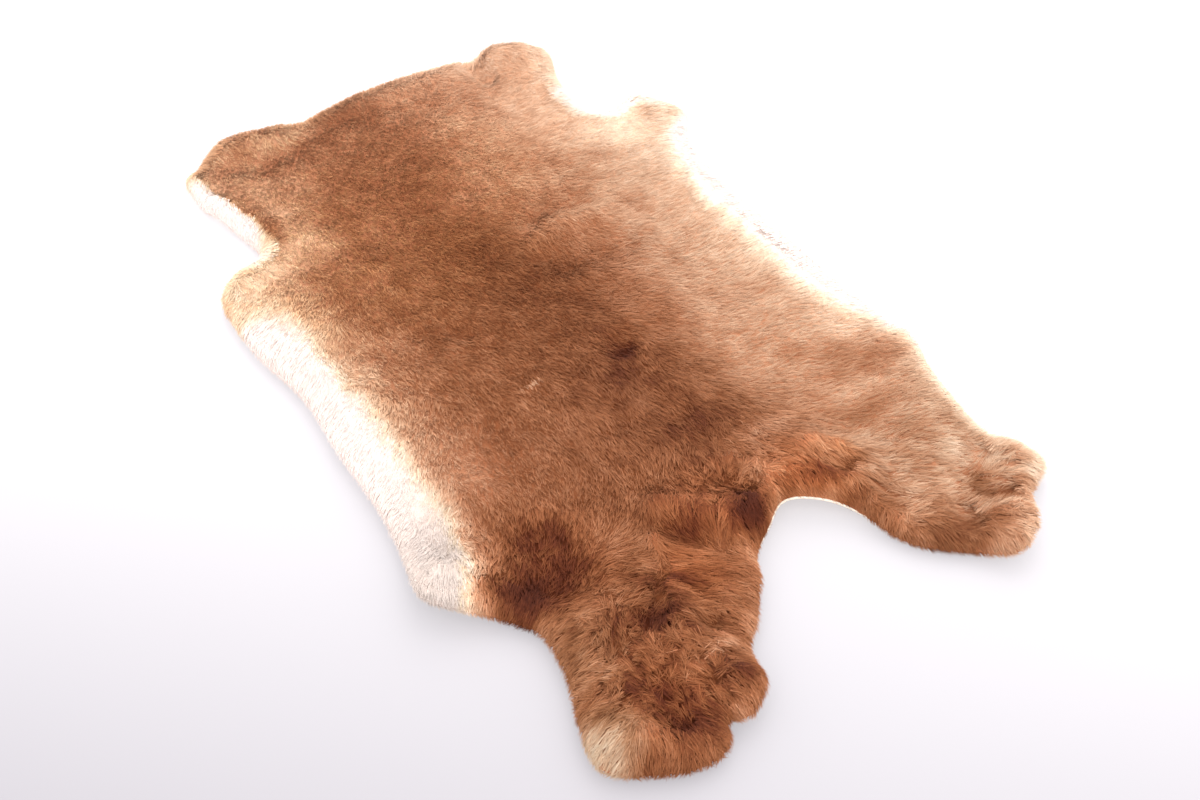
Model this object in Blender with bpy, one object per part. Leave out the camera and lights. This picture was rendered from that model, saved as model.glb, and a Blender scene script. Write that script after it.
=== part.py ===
"""A rex rabbit pelt laid open on a flat surface with its fur side up.

The pelt is one piece: a tanned skin and the short, dense pile that grows on it.
Lengths in the tables are millimetres. The pelt's own axes start at the crotch,
with +X towards its right flank and +Y towards its neck. At the end the whole
pelt is moved so that the middle of its underside is the origin.
"""
import math
import random

import bmesh
import bpy
from mathutils import Vector, kdtree, noise
from mathutils.geometry import delaunay_2d_cdt

# Driving sizes in millimetres
PILE = 13.0
SKIN = 1.2
ROUNDING = 11.0
LOCK_COUNT = 236
LOCK_REACH = 2.6
LOCK_SHARE_AT_CUT = 0.08
LOCK_THICKNESS = 1.4
SHOULDER_INSET = 3.6
LATTICE = 8.2
UNDERSIDE_LATTICE = 17.0
UNEVENNESS = 0.9
UNEVENNESS_SCALE = 34.0
FOLD_FADE = 7.0
MM = 0.001

# Outline of the pile seen from above, clockwise from the neck's left corner.
# over is how far the pile reaches past the edge of the skin under it.
OUTLINE = (
    # name, x, y, over
    ("neck, left corner", -117, 351, 3.0),
    ("neck, start of the roll", -106, 361, 4.0),
    ("neck, roll", -92, 371, 4.5),
    ("neck, crest of the roll", -76, 373, 4.5),
    ("neck, end of the roll", -55, 368, 4.5),
    ("neck, dent beside the roll", -43, 364, 4.5),
    ("neck, left", -24, 367, 4.5),
    ("neck, left of the middle", -4, 369, 4.5),
    ("neck, middle", 18, 368, 4.5),
    ("neck, right of the middle", 38, 365, 4.5),
    ("neck, before the pucker", 58, 361, 4.0),
    ("neck, pucker", 65, 357, 3.5),
    ("neck, after the pucker", 73, 357, 4.5),
    ("neck, right bulge", 88, 350, 4.5),
    ("neck, right corner", 107, 338, 4.0),
    ("right armhole, top", 97, 314, 4.0),
    ("right armhole, side", 91, 292, 4.5),
    ("right armhole, deepest", 89, 273, 4.5),
    ("right foreleg, root", 98, 268, 4.5),
    ("right foreleg, front", 116, 272, 4.5),
    ("right foreleg, tip front", 127, 258, 4.5),
    ("right foreleg, tip back", 131, 240, 4.5),
    ("right foreleg, back", 119, 224, 4.5),
    ("right flank, front", 110, 202, 5.0),
    ("right flank, upper", 105, 168, 5.0),
    ("right flank, middle", 101, 132, 5.0),
    ("right flank, lower", 97, 94, 5.0),
    ("right flank, back", 96, 62, 5.0),
    ("right flank, corner", 98, 42, 5.0),
    ("right hind leg, outer root", 88, 20, 5.0),
    ("right hind leg, outer side", 81, -3, 5.0),
    ("right hind leg, ankle", 78, -20, 5.0),
    ("right foot, outer", 84, -32, 5.0),
    ("right foot, upper lobe", 84, -48, 5.0),
    ("right foot, dent between lobes", 63, -57, 4.0),
    ("right foot, lower lobe", 52, -69, 5.0),
    ("right foot, inner end", 37, -73, 5.0),
    ("right foot, inner side", 25, -60, 5.0),
    ("right hind leg, inner side", 10, -43, 5.0),
    ("right hind leg, inner root", 4, -24, 3.0),
    ("crotch, right end of the cut", 3, -18, 0.8),
    ("crotch, right part of the cut", -4, -7, 0.4),
    ("crotch, top of the cut", -18, 4, 0.4),
    ("crotch, left part of the cut", -31, -1, 0.4),
    ("crotch, left end of the cut", -44, -8, 1.0),
    ("left hind leg, upper scallop", -51, -18, 4.0),
    ("left hind leg, scallop dent", -57, -23, 3.5),
    ("left hind leg, lower scallop", -65, -31, 4.5),
    ("left hind leg, dent above the lobe", -76, -39, 3.5),
    ("left hind leg, lobe", -83, -55, 5.0),
    ("left hind leg, lobe end", -96, -61, 5.0),
    ("left foot, dent", -103, -57, 4.0),
    ("left foot, inner corner", -110, -65, 5.0),
    ("left foot, end", -128, -62, 5.0),
    ("left foot, outer corner", -151, -44, 5.0),
    ("left foot, outer side", -147, -24, 5.0),
    ("left hind leg, ankle", -138, -4, 5.0),
    ("left hind leg, outer side", -135, 16, 5.0),
    ("left hind leg, outer root", -143, 30, 5.0),
    ("left flank, back", -154, 41, 5.0),
    ("left flank, corner", -163, 55, 5.0),
    ("left flank, dent", -156, 80, 5.0),
    ("left flank, lower", -151, 106, 5.0),
    ("left flank, middle", -148, 144, 5.0),
    ("left flank, upper", -144, 180, 5.0),
    ("left flank, front", -147, 217, 5.0),
    ("left foreleg, back", -146, 243, 4.5),
    ("left foreleg, tip", -143, 260, 4.5),
    ("left foreleg, front", -131, 272, 4.5),
    ("left armhole, deepest", -113, 277, 4.0),
    ("left armhole, side", -112, 296, 3.5),
    ("left armhole, top", -117, 324, 3.0),
)

# Folds and lumps of the pelt: soft ridges, or troughs where height is negative
FOLDS = (
    # name, x0, y0, x1, y1, half_width, height
    ("roll along the neck", -90, 361, -60, 357, 19, 4.2),
    ("crease behind the roll", -106, 355, -86, 338, 8, -3.2),
    ("crease behind the roll, inner end", -86, 338, -60, 335, 9, -1.8),
    ("bead along the neck", -30, 357, 56, 351, 13, 2.0),
    ("bulge at the right corner of the neck", 75, 342, 85, 335, 18, 8.5),
    ("pucker beside the bulge", 61, 355, 61, 332, 8, -4.5),
    ("shoulder ridge, left", 0, 196, 12, 204, 12, 2.6),
    ("shoulder ridge, middle", 12, 204, 38, 196, 12, 3.0),
    ("shoulder ridge, right", 38, 196, 46, 165, 12, 2.6),
    ("hollow inside the shoulder ridge", 2, 180, 28, 174, 20, -3.0),
    ("dimple in the saddle", -14, 116, -17, 112, 11, -3.5),
    ("trough down the saddle", -20, 108, -25, 68, 13, -2.0),
    ("dimple on the left side", -69, 170, -67, 165, 9, -2.2),
    ("tuft above the crotch", -62, 28, -40, 2, 15, 4.0),
    ("crease below the tuft", -69, 24, -50, -6, 7, -3.5),
    ("hollow above the tuft", -30, 24, -27, 15, 10, -4.0),
    ("swell over the cut", -2, 30, 23, 0, 15, 3.0),
    ("hollow over the cut", 7, 6, 12, -2, 8, -4.5),
    ("parting in the left thigh", -79, 9, -92, -4, 8, -4.5),
    ("parting, lower end", -96, -6, -116, -12, 10, -3.0),
    ("left leg ridge, upper", -84, -2, -91, -24, 9, 4.0),
    ("left leg ridge, lower", -91, -25, -82, -39, 8, 4.0),
    ("crease above the ridge", -76, -36, -82, -24, 6, -3.5),
    ("left leg lobe", -94, -44, -86, -48, 13, 3.5),
    ("crease between lobe and foot", -103, -59, -99, -44, 7, -4.5),
    ("left leg trough", -112, -22, -119, -48, 12, -4.0),
    ("left foot", -140, -40, -131, -50, 17, 3.5),
    ("left leg, outer ridge", -116, 8, -135, -6, 12, 2.5),
    ("left thigh hollow", -113, 42, -117, 33, 22, -3.0),
    ("right foot, crease across", 68, -26, 48, -34, 8, -3.5),
    ("right foot, crease between lobes", 46, -37, 62, -56, 8, -4.5),
    ("right foot, lower crease", 38, -41, 29, -60, 8, -4.0),
    ("right foot, upper lobe", 71, -40, 74, -48, 13, 3.5),
    ("right foot, lower lobe", 42, -59, 48, -63, 12, 3.0),
    ("right leg, inner dent", 17, -22, 15, -36, 9, -3.0),
    ("right leg, swell", 62, 4, 42, -14, 20, 2.0),
    ("left flank, corner tuft", -150, 53, -141, 60, 16, 3.5),
    ("left flank, crease", -154, 82, -132, 89, 8, -3.5),
    ("left flank, roll", -137, 120, -138, 205, 12, 2.2),
    ("right flank, roll", 95, 90, 100, 190, 14, 1.8),
    ("left foreleg", -135, 262, -128, 262, 14, 2.2),
    ("right foreleg", 121, 262, 124, 248, 13, 2.2),
)

# Places where the skin stands off the floor
LIFTS = (
    # name, x, y, radius, height
    ("cut at the crotch", -14, -4, 42, 9.0),
    ("corner of the left flank", -170, 46, 40, 8.0),
    ("left corner of the neck", -122, 346, 17, 4.5),
    ("left neck edge", -119, 317, 19, 5.0),
    ("end of the right foot", 60, -80, 44, 9.0),
    ("left foot lobe", -86, -62, 26, 5.0),
    ("right bulge of the neck", 92, 350, 34, 3.0),
)

FUR_COLOUR = (0.42, 0.2, 0.095, 1.0)
LOCK_SEED = 7


def even_ring(rows, count):
    """Points spaced evenly along a smooth closed curve through the rows."""
    knots = [(Vector((row[1], row[2])), row[3]) for row in rows]
    total = len(knots)
    dense = []
    for index in range(total):
        before, start, end, after = (knots[(index + step) % total] for step in (-1, 0, 1, 2))
        for part in range(24):
            t = part / 24
            across = 0.5 * (
                2 * start[0]
                + (end[0] - before[0]) * t
                + (2 * before[0] - 5 * start[0] + 4 * end[0] - after[0]) * t ** 2
                + (3 * start[0] - 3 * end[0] + after[0] - before[0]) * t ** 3
            )
            dense.append((across, start[1] + (end[1] - start[1]) * t))
    lengths = [0.0]
    for index in range(len(dense)):
        here = dense[index][0]
        there = dense[(index + 1) % len(dense)][0]
        lengths.append(lengths[-1] + (there - here).length)
    ring = []
    index = 0
    for number in range(count):
        wanted = lengths[-1] * number / count
        while lengths[index + 1] <= wanted:
            index += 1
        share = (wanted - lengths[index]) / (lengths[index + 1] - lengths[index])
        here = dense[index]
        there = dense[(index + 1) % len(dense)]
        ring.append((here[0].lerp(there[0], share), here[1] + (there[1] - here[1]) * share))
    return ring


def outward(ring, index):
    """Direction that points out of a clockwise ring at one of its points."""
    along = ring[(index + 1) % len(ring)][0] - ring[index - 1][0]
    along.normalize()
    return Vector((-along.y, along.x))


def nearness(x, y, x0, y0, x1, y1, reach):
    """One on the line from (x0, y0) to (x1, y1), falling softly to nothing at reach."""
    run = Vector((x1 - x0, y1 - y0))
    start = Vector((x - x0, y - y0))
    share = min(1.0, max(0.0, start.dot(run) / max(run.length_squared, 1e-6)))
    gap = (start - run * share).length / reach
    return max(0.0, 1.0 - gap * gap) ** 2


def lift(x, y):
    """Height of the skin's underside above the floor."""
    return max(row[4] * nearness(x, y, row[1], row[2], row[1], row[2], row[3]) for row in LIFTS)


def fold(x, y):
    """Height that ridges, lumps and troughs add to the pile."""
    shares = [row[6] * nearness(x, y, *row[1:6]) for row in FOLDS]
    rough = noise.noise(Vector((x, y, 0.0)) / UNEVENNESS_SCALE) * UNEVENNESS
    return max(0.0, max(shares)) + min(0.0, min(shares)) + rough


class Rim:
    """Answers how far a place lies inside the smooth outline."""

    def __init__(self, ring):
        self.ring = ring
        self.tree = kdtree.KDTree(len(ring))
        for index, (place, over) in enumerate(ring):
            self.tree.insert((place.x, place.y, 0.0), index)
        self.tree.balance()

    def inset(self, x, y):
        """Distance inside the outline, negative outside it, and the overhang there."""
        found, index, gap = self.tree.find((x, y, 0.0))
        place, over = self.ring[index]
        away = Vector((x, y)) - place
        side = -away.dot(outward(self.ring, index))
        if gap < 6.0:
            return side, over
        return math.copysign(gap, side), over


def rim_height(over):
    """Height of the outermost point of the pile above the skin's underside."""
    return SKIN + 0.75 * over


def top_height(x, y, rim):
    """Height of the pile's surface."""
    inset, over = rim.inset(x, y)
    share = min(1.0, max(0.0, inset / ROUNDING))
    edge = rim_height(over)
    full = PILE + fold(x, y) * min(1.0, inset / FOLD_FADE)
    return lift(x, y) + edge + (full - edge) * math.sqrt(1.0 - (1.0 - share) ** 2)


def lattice(rim, spacing, least_inset):
    """Places of a staggered lattice that lie at least so far inside the outline."""
    xs = [place.x for place, over in rim.ring]
    ys = [place.y for place, over in rim.ring]
    row_step = spacing * math.sqrt(0.75)
    places = []
    for row in range(int((max(ys) - min(ys)) / row_step) + 1):
        for column in range(int((max(xs) - min(xs)) / spacing) + 1):
            x = min(xs) + (column + 0.5 * (row % 2)) * spacing
            y = min(ys) + row * row_step
            if rim.inset(x, y)[0] > least_inset:
                places.append(Vector((x, y)))
    return places


def skin_over(places, border_count):
    """Triangles over the places, inside the border that the first of them make."""
    border = list(range(border_count))
    flat, edges, faces, origins = delaunay_2d_cdt(places, [], [border], 1, 1e-4)[:4]
    if len(flat) != len(places):
        raise ValueError("the outline of the locks crosses itself")
    first = [group[0] for group in origins]
    return [[first[corner] for corner in face] for face in faces]


def make_pelt():
    """The whole pelt as one closed body in millimetres."""
    rim = Rim(even_ring(OUTLINE, LOCK_COUNT * 2))
    chance = random.Random(LOCK_SEED)
    border = []
    shoulder = []
    hide_edge = []
    for index, (place, over) in enumerate(rim.ring):
        out = outward(rim.ring, index)
        along = Vector((out.y, -out.x))
        loose = max(LOCK_SHARE_AT_CUT, min(1.0, (over - 0.8) / 3.2))
        is_tip = index % 2 == 0
        ground = lift(place.x, place.y)
        if is_tip:
            reach = LOCK_REACH * chance.uniform(0.1, 1.3) * loose
            slant = chance.uniform(-2.2, 2.2) * loose
            height = ground + rim_height(over) - chance.uniform(0.0, 1.6) * loose
        else:
            reach = -chance.uniform(0.0, 1.6) * loose
            slant = chance.uniform(-1.0, 1.0) * loose
            height = ground + rim_height(over) + 0.6 * loose
        tip = place + out * reach + along * slant
        border.append((tip, height))
        inner = place - out * (SHOULDER_INSET + chance.uniform(-0.4, 0.4))
        crown = 0.9 * loose if is_tip else -0.9 * loose
        shoulder.append((inner, crown))
        if is_tip:
            hide_edge.append(place - out * max(over, 0.9))

    mesh = bmesh.new()
    upper = [mesh.verts.new((*tip, height)) for tip, height in border]
    lower = [mesh.verts.new((*tip, height - LOCK_THICKNESS)) for tip, height in border]
    for index in range(len(border)):
        mesh.faces.new((upper[index], lower[index], lower[index - 1], upper[index - 1]))

    fits = [row for row in shoulder if rim.inset(*row[0])[0] > 0.72 * SHOULDER_INSET]
    inner = lattice(rim, LATTICE, SHOULDER_INSET + 0.55 * LATTICE)
    places = [tip for tip, height in border] + [place for place, crown in fits] + inner
    crowns = [crown for place, crown in fits] + [0.0] * len(inner)
    corners = list(upper)
    for place, crown in zip(places[len(border):], crowns):
        corners.append(mesh.verts.new((*place, top_height(place.x, place.y, rim) + crown)))
    for face in skin_over(places, len(border)):
        mesh.faces.new([corners[index] for index in face])

    edge = [place for place in hide_edge if rim.inset(*place)[0] > 0.3]
    inner = lattice(rim, UNDERSIDE_LATTICE, 5.0 + 0.4 * UNDERSIDE_LATTICE)
    inner += [
        place
        for place in lattice(rim, 0.5 * UNDERSIDE_LATTICE, 9.0)
        if lift(*place) > 0.05 and all((place - other).length > 3.0 for other in inner)
    ]
    places = [tip for tip, height in border] + edge + inner
    corners = list(lower)
    for place in places[len(border):]:
        corners.append(mesh.verts.new((*place, lift(*place))))
    for face in skin_over(places, len(border)):
        mesh.faces.new([corners[index] for index in face])
    bmesh.ops.recalc_face_normals(mesh, faces=mesh.faces)
    return mesh


def recentre(mesh):
    """Moves the body so that the middle of its underside is the origin, in metres."""
    lows = [min(corner.co[axis] for corner in mesh.verts) for axis in range(3)]
    highs = [max(corner.co[axis] for corner in mesh.verts) for axis in range(3)]
    middle = Vector(((lows[0] + highs[0]) / 2, (lows[1] + highs[1]) / 2, lows[2]))
    for corner in mesh.verts:
        corner.co = (corner.co - middle) * MM


def fur_material():
    """Castor brown fur, matt."""
    material = bpy.data.materials.new("Rex fur")
    material.use_nodes = True
    shader = material.node_tree.nodes["Principled BSDF"]
    shader.inputs["Base Color"].default_value = FUR_COLOUR
    shader.inputs["Roughness"].default_value = 0.95
    return material


def main():
    for thing in list(bpy.data.objects):
        bpy.data.objects.remove(thing)
    group = bpy.data.collections.new("Rex rabbit pelt")
    bpy.context.scene.collection.children.link(group)
    mesh = make_pelt()
    recentre(mesh)
    data = bpy.data.meshes.new("pelt")
    mesh.to_mesh(data)
    mesh.free()
    data.materials.append(fur_material())
    for face in data.polygons:
        face.use_smooth = True
    group.objects.link(bpy.data.objects.new("pelt", data))


main()
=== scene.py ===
"""A rex rabbit pelt laid open on a pale surface, fur side up.

Lengths in the tables are millimetres on the pelt's own axes: they start at the crotch,
with +X towards the right flank and +Y towards the neck.
"""

import math

import bmesh
import bpy
import numpy as np
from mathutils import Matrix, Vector, kdtree
from mathutils import noise as smooth_noise
from mathutils.geometry import delaunay_2d_cdt


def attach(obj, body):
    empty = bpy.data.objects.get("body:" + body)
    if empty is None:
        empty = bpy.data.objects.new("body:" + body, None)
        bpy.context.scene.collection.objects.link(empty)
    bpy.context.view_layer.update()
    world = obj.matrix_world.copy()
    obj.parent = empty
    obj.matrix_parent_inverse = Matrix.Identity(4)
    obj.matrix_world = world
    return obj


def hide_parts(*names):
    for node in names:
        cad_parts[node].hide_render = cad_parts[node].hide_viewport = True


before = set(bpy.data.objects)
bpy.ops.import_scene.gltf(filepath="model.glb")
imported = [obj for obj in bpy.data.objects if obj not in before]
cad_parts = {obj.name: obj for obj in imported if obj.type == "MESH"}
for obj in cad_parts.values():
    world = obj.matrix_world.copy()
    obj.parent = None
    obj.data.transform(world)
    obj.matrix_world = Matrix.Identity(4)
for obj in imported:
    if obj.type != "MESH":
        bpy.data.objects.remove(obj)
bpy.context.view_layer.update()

MM = 0.001

# Where the part's frame starts, on the pelt's own axes
MIDDLE = (-16.16, 150.49)

# Sizes of the pelt, as in its solid
PILE = 13.0
SKIN = 1.2
ROUNDING = 11.0
UNEVENNESS = 0.9
UNEVENNESS_SCALE = 34.0
FOLD_FADE = 7.0

# The finer surface that carries the pile
TROUGH_FADE = 12.0
RIM_POINTS = 820
RIM_REACH = 6.0
RIM_INSETS = (0.9, 2.2, 4.2, 7.0)
SURFACE_LATTICE = 3.0
PILE_RIPPLE = 0.55
PILE_RIPPLE_SCALE = 11.0
FINE_RIPPLE_SCALE = 5.0
OUTWARD_REACH = 14.0
OUTWARD_BLUR = 5.0
HIDE_LATTICE = 6.0
UNDERFUR_DEPTH = 2.3

# The pile
TUFTS_PER_PIECE = 62000
FUR_PIECES = 5
SHADOW_PIECES = (0, 3)
TUFT_LENGTH = 6.8
TUFT_HALF_WIDTH = 0.23
TUFT_RIDGE = 0.12
RISE_GAIN = 0.92
CLUMP_SIZE = 2.6
LOCK_SIZE = 4.8
UP_SHARE = 0.5
ROUND_SHARE = 0.2
ROOT_INSET = 2.0
LOWEST_TIP = 0.5
LOWEST_ROOT = 0.6
LOOSE_SHARE = 0.015
SEED = 11

OUTLINE = (
    # name, x, y, over
    ("neck, left corner", -117, 351, 3),
    ("neck, start of the roll", -106, 361, 4),
    ("neck, roll", -92, 371, 4.5),
    ("neck, crest of the roll", -76, 373, 4.5),
    ("neck, end of the roll", -55, 368, 4.5),
    ("neck, dent beside the roll", -43, 364, 4.5),
    ("neck, left", -24, 367, 4.5),
    ("neck, left of the middle", -4, 369, 4.5),
    ("neck, middle", 18, 368, 4.5),
    ("neck, right of the middle", 38, 365, 4.5),
    ("neck, before the pucker", 58, 361, 4),
    ("neck, pucker", 65, 357, 3.5),
    ("neck, after the pucker", 73, 357, 4.5),
    ("neck, right bulge", 88, 350, 4.5),
    ("neck, right corner", 107, 338, 4),
    ("right armhole, top", 97, 314, 4),
    ("right armhole, side", 91, 292, 4.5),
    ("right armhole, deepest", 89, 273, 4.5),
    ("right foreleg, root", 98, 268, 4.5),
    ("right foreleg, front", 116, 272, 4.5),
    ("right foreleg, tip front", 127, 258, 4.5),
    ("right foreleg, tip back", 131, 240, 4.5),
    ("right foreleg, back", 119, 224, 4.5),
    ("right flank, front", 110, 202, 5),
    ("right flank, upper", 105, 168, 5),
    ("right flank, middle", 101, 132, 5),
    ("right flank, lower", 97, 94, 5),
    ("right flank, back", 96, 62, 5),
    ("right flank, corner", 98, 42, 5),
    ("right leg, outer root", 88, 20, 5),
    ("right leg, outer side", 81, -3, 5),
    ("right leg, ankle", 78, -20, 5),
    ("right foot, outer", 84, -32, 5),
    ("right foot, upper lobe", 84, -48, 5),
    ("right foot, dent between lobes", 63, -57, 4),
    ("right foot, lower lobe", 52, -69, 5),
    ("right foot, inner end", 37, -73, 5),
    ("right foot, inner side", 25, -60, 5),
    ("right leg, inner side", 10, -43, 5),
    ("right leg, inner root", 4, -24, 3),
    ("crotch, right end of the cut", 3, -18, 0.8),
    ("crotch, right part of the cut", -4, -7, 0.4),
    ("crotch, top of the cut", -18, 4, 0.4),
    ("crotch, left part of the cut", -31, -1, 0.4),
    ("crotch, left end of the cut", -44, -8, 1),
    ("left leg, upper scallop", -51, -18, 4),
    ("left leg, scallop dent", -57, -23, 3.5),
    ("left leg, lower scallop", -65, -31, 4.5),
    ("left leg, dent above the lobe", -76, -39, 3.5),
    ("left leg, lobe", -83, -55, 5),
    ("left leg, lobe end", -96, -61, 5),
    ("left foot, dent", -103, -57, 4),
    ("left foot, inner corner", -110, -65, 5),
    ("left foot, end", -128, -62, 5),
    ("left foot, outer corner", -151, -44, 5),
    ("left foot, outer side", -147, -24, 5),
    ("left leg, ankle", -138, -4, 5),
    ("left leg, outer side", -135, 16, 5),
    ("left leg, outer root", -143, 30, 5),
    ("left flank, back", -154, 41, 5),
    ("left flank, corner", -163, 55, 5),
    ("left flank, dent", -156, 80, 5),
    ("left flank, lower", -151, 106, 5),
    ("left flank, middle", -148, 144, 5),
    ("left flank, upper", -144, 180, 5),
    ("left flank, front", -147, 217, 5),
    ("left foreleg, back", -146, 243, 4.5),
    ("left foreleg, tip", -143, 260, 4.5),
    ("left foreleg, front", -131, 272, 4.5),
    ("left armhole, deepest", -113, 277, 4),
    ("left armhole, side", -112, 296, 3.5),
    ("left armhole, top", -117, 324, 3),
)

# Folds and lumps of the pelt: soft ridges, or troughs where height is negative
FOLDS = (
    # name, x0, y0, x1, y1, half_width, height
    ("roll along the neck", -90, 361, -60, 357, 19, 4.2),
    ("crease behind the roll", -106, 355, -86, 338, 8, -0.6),
    ("crease behind the roll, inner end", -86, 338, -60, 335, 9, -0.8),
    ("bead along the neck", -30, 357, 56, 351, 13, 2.0),
    ("bulge at the right corner of the neck", 75, 342, 85, 335, 18, 8.5),
    ("pucker beside the bulge", 61, 355, 61, 332, 8, -4.5),
    ("shoulder ridge, left", 0, 196, 12, 204, 12, 2.6),
    ("shoulder ridge, middle", 12, 204, 38, 196, 12, 3.0),
    ("shoulder ridge, right", 38, 196, 46, 165, 12, 2.6),
    ("hollow inside the shoulder ridge", 2, 180, 28, 174, 20, -3.0),
    ("dimple in the saddle", -14, 116, -17, 112, 11, -3.5),
    ("trough down the saddle", -20, 108, -25, 68, 13, -2.0),
    ("dimple on the left side", -69, 170, -67, 165, 9, -2.2),
    ("tuft above the crotch", -62, 28, -40, 2, 15, 4.0),
    ("crease below the tuft", -69, 24, -50, -6, 7, -3.5),
    ("hollow above the tuft", -30, 24, -27, 15, 10, -4.0),
    ("swell over the cut", -2, 30, 23, 0, 15, 3.0),
    ("hollow over the cut", 7, 6, 12, -2, 8, -4.5),
    ("parting in the left thigh", -79, 9, -92, -4, 8, -4.5),
    ("parting, lower end", -96, -6, -116, -12, 10, -3.0),
    ("left leg ridge, upper", -84, -2, -91, -24, 9, 4.0),
    ("left leg ridge, lower", -91, -25, -82, -39, 8, 4.0),
    ("crease above the ridge", -76, -36, -82, -24, 6, -3.5),
    ("left leg lobe", -94, -44, -86, -48, 13, 3.5),
    ("crease between lobe and foot", -103, -59, -99, -44, 7, -4.5),
    ("left leg trough", -112, -22, -119, -48, 12, -4.0),
    ("left foot", -140, -40, -131, -50, 17, 3.5),
    ("left leg, outer ridge", -116, 8, -135, -6, 12, 2.5),
    ("left thigh hollow", -113, 42, -117, 33, 22, -3.0),
    ("right foot, crease across", 68, -26, 48, -34, 8, -3.5),
    ("right foot, crease between lobes", 46, -37, 62, -56, 8, -4.5),
    ("right foot, lower crease", 38, -41, 29, -60, 8, -4.0),
    ("right foot, upper lobe", 71, -40, 74, -48, 13, 3.5),
    ("right foot, lower lobe", 42, -59, 48, -63, 12, 3.0),
    ("right leg, inner dent", 17, -22, 15, -36, 9, -3.0),
    ("right leg, swell", 62, 4, 42, -14, 20, 2.0),
    ("left flank, corner tuft", -150, 53, -141, 60, 18, 1.5),
    ("left flank, crease", -154, 82, -132, 89, 8, -0.8),
    ("left flank, roll", -137, 120, -138, 205, 14, 1.2),
    ("right flank, roll", 95, 90, 100, 190, 14, 1.8),
    ("left foreleg", -135, 262, -128, 262, 14, 2.2),
    ("right foreleg", 121, 262, 124, 248, 13, 2.2),
)

# Places where the skin stands off the floor
LIFTS = (
    # name, x, y, radius, height
    ("cut at the crotch", -14, -4, 42, 9.0),
    ("corner of the left flank", -170, 46, 40, 8.0),
    ("left corner of the neck", -122, 346, 17, 4.5),
    ("left neck edge", -119, 317, 19, 5.0),
    ("end of the right foot", 60, -80, 44, 9.0),
    ("left foot lobe", -86, -62, 26, 5.0),
    ("right bulge of the neck", 92, 350, 34, 3.0),
)

# The way the pile lies: towards is the compass of its tips, 0 to the right flank and
# -90 to the tail, and rise is how far it stands up from the skin
LAY = (
    # name, x, y, towards, rise
    ("neck, left", -80, 350, -95, 38),
    ("neck, middle", 0, 345, -88, 42),
    ("neck, right", 80, 335, -60, 42),
    ("left shoulder", -110, 260, -98, 36),
    ("withers", -20, 270, -90, 40),
    ("right shoulder", 70, 270, -55, 38),
    ("left side", -110, 170, -95, 34),
    ("left of the back", -65, 170, -91, 34),
    ("saddle", -15, 180, -96, 32),
    ("right of the back", 30, 150, -70, 34),
    ("right side", 70, 150, -35, 40),
    ("left flank", -145, 150, -138, 26),
    ("left flank, front", -140, 215, -138, 26),
    ("left flank, back", -142, 95, -132, 26),
    ("right flank", 95, 120, -25, 30),
    ("left loin", -110, 90, -98, 40),
    ("rump", -35, 80, -102, 24),
    ("right loin", 45, 70, -52, 43),
    ("left flank corner", -150, 56, -128, 22),
    ("left thigh", -112, 38, -125, 30),
    ("tail root", -35, 35, -112, 24),
    ("over the cut", 5, 12, -86, 16),
    ("tuft above the crotch", -52, 12, -135, 20),
    ("left of the parting", -92, 12, 172, 30),
    ("right of the parting", -70, 2, -44, 22),
    ("inside of the left leg", -70, -22, -60, 26),
    ("left leg lobe", -88, -48, -82, 20),
    ("outside of the left leg", -128, 0, -165, 26),
    ("left foot, outside", -143, -36, -168, 20),
    ("left foot, end", -128, -52, -128, 20),
    ("left foot, inside", -112, -52, -100, 22),
    ("left leg, middle", -108, -20, -120, 26),
    ("right thigh", 40, 20, -50, 41),
    ("inside of the right leg", 14, -32, -64, 26),
    ("right leg, middle", 45, -25, -52, 40),
    ("right foot", 70, -45, -48, 35),
    ("right foot, inside", 42, -62, -54, 32),
)

# How light or dark the coat is across the back, before the patches: partly the coat's own tone, and partly
# painted light, as the right side turns pale sooner than the left where brighter light falls on it
ACROSS = (
    # x, tone
    (-150, 0.0), (-128, 0.06), (-116, 0.24), (-104, 0.46), (-88, 0.58), (-60, 0.70),
    (-30, 0.78), (-12, 0.77), (6, 0.60), (22, 0.44), (40, 0.31), (60, 0.19), (78, 0.08),
    (95, 0.0),
)

# How far the coat's darkness reaches along the back
ALONG = (
    # y, share
    (-70, 1.0), (60, 0.98), (120, 1.04), (190, 0.99), (250, 0.79), (300, 0.70), (345, 0.60),
)
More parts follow.
